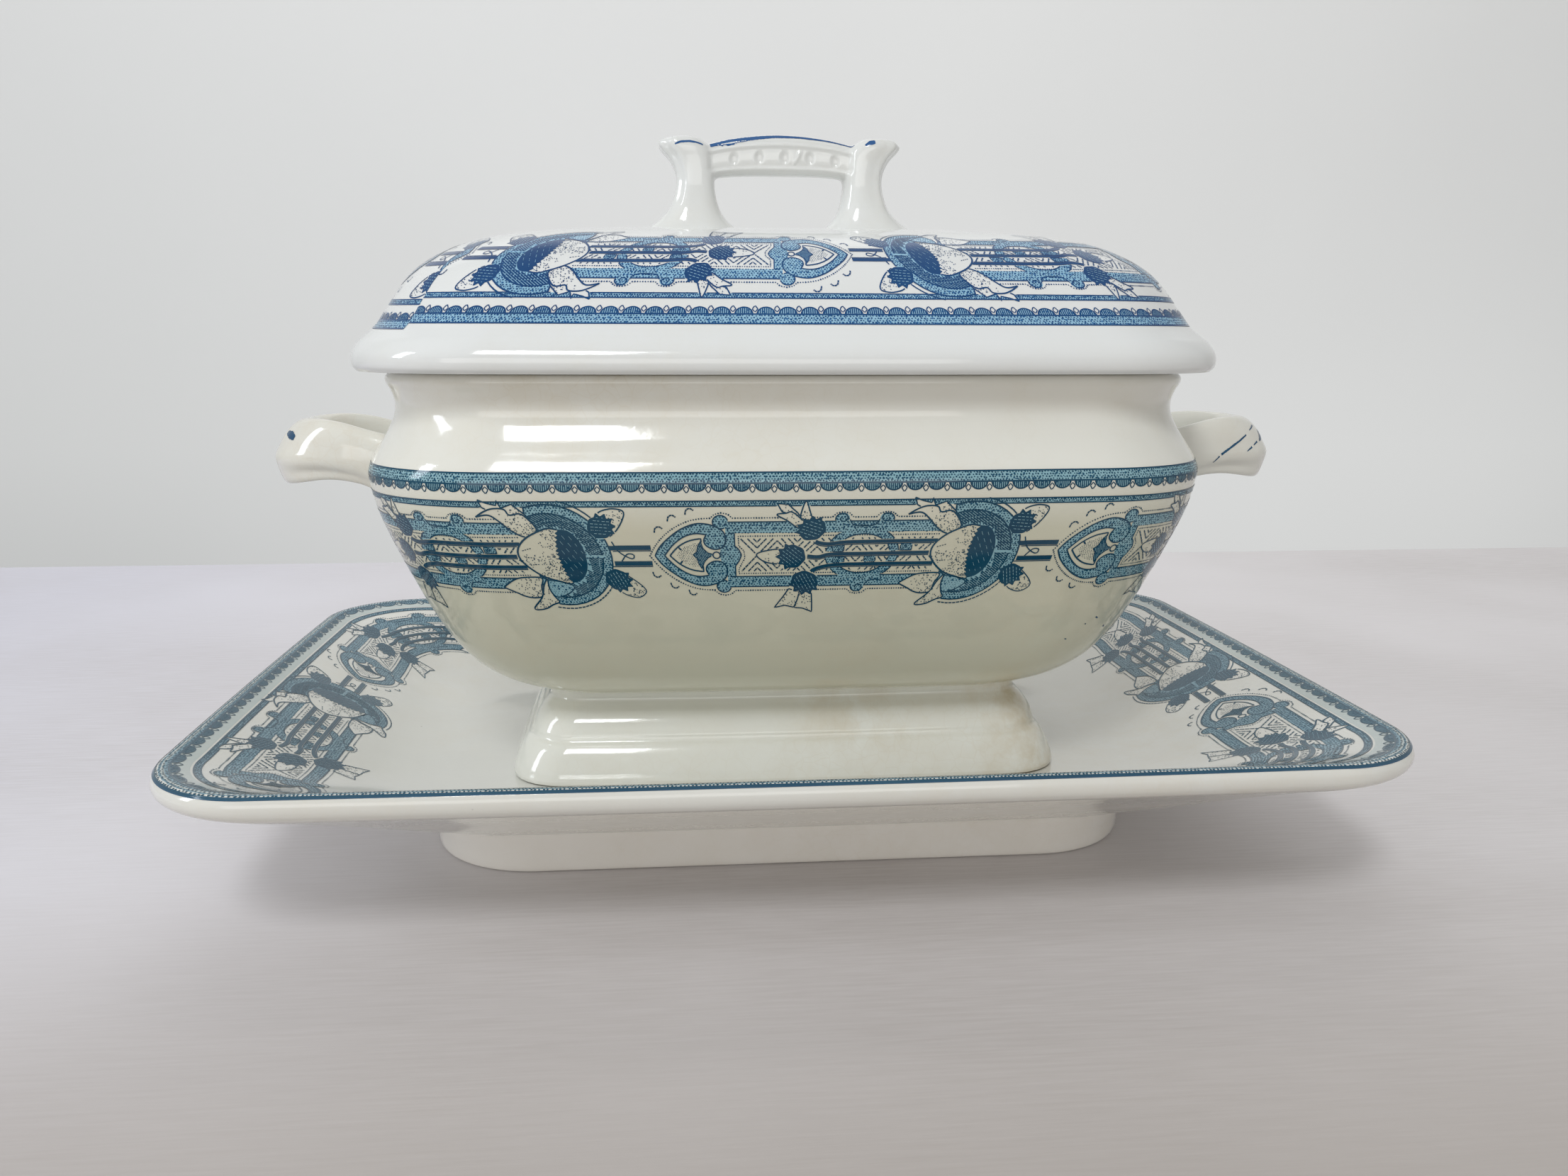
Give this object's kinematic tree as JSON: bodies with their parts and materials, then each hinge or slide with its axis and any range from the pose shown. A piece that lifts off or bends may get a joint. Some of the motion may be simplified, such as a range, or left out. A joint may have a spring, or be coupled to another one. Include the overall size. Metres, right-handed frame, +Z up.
{
  "type": "soup tureen",
  "caption": "Lidded rectangular glazed-earthenware soup tureen on a dished stand, with loop side handles, a bridge lid handle and a blue transfer-printed border.",
  "frame": {"origin": "on the supporting surface, under the middle of the stand", "axes": "+Z up, +X along the long side towards the right-hand handle, -Y towards the viewer"},
  "size_m": [0.378, 0.262, 0.2419],
  "materials": {
    "stand_glaze": "glossy clear lead glaze over cream-white earthenware",
    "bowl_glaze": "glossy clear glaze over cream earthenware, faintly stained and crazed",
    "handle_glaze": "glossy clear glaze over cream earthenware",
    "lid_glaze": "glossy clear glaze over white earthenware",
    "print_blue": "blue transfer print under glossy glaze"
  },
  "bodies": {
    "stand": {"stand_dish": "stand_glaze", "stand_foot_ring": "stand_glaze"},
    "tureen": {"bowl": "bowl_glaze", "bowl_foot": "bowl_glaze", "handle_left": "handle_glaze", "handle_right": "handle_glaze"},
    "lid": {"lid_cover": "lid_glaze", "lid_flange": "lid_glaze", "lid_handle": "lid_glaze"}
  },
  "joints": [
    {"name": "tureen_lift", "type": "slide", "parent": "stand", "child": "tureen", "axis": [0, 0, 1], "range_m": [0, 0.1]},
    {"name": "lid_lift", "type": "slide", "parent": "tureen", "child": "lid", "axis": [0, 0, 1], "range_m": [0, 0.12]}
  ]
}
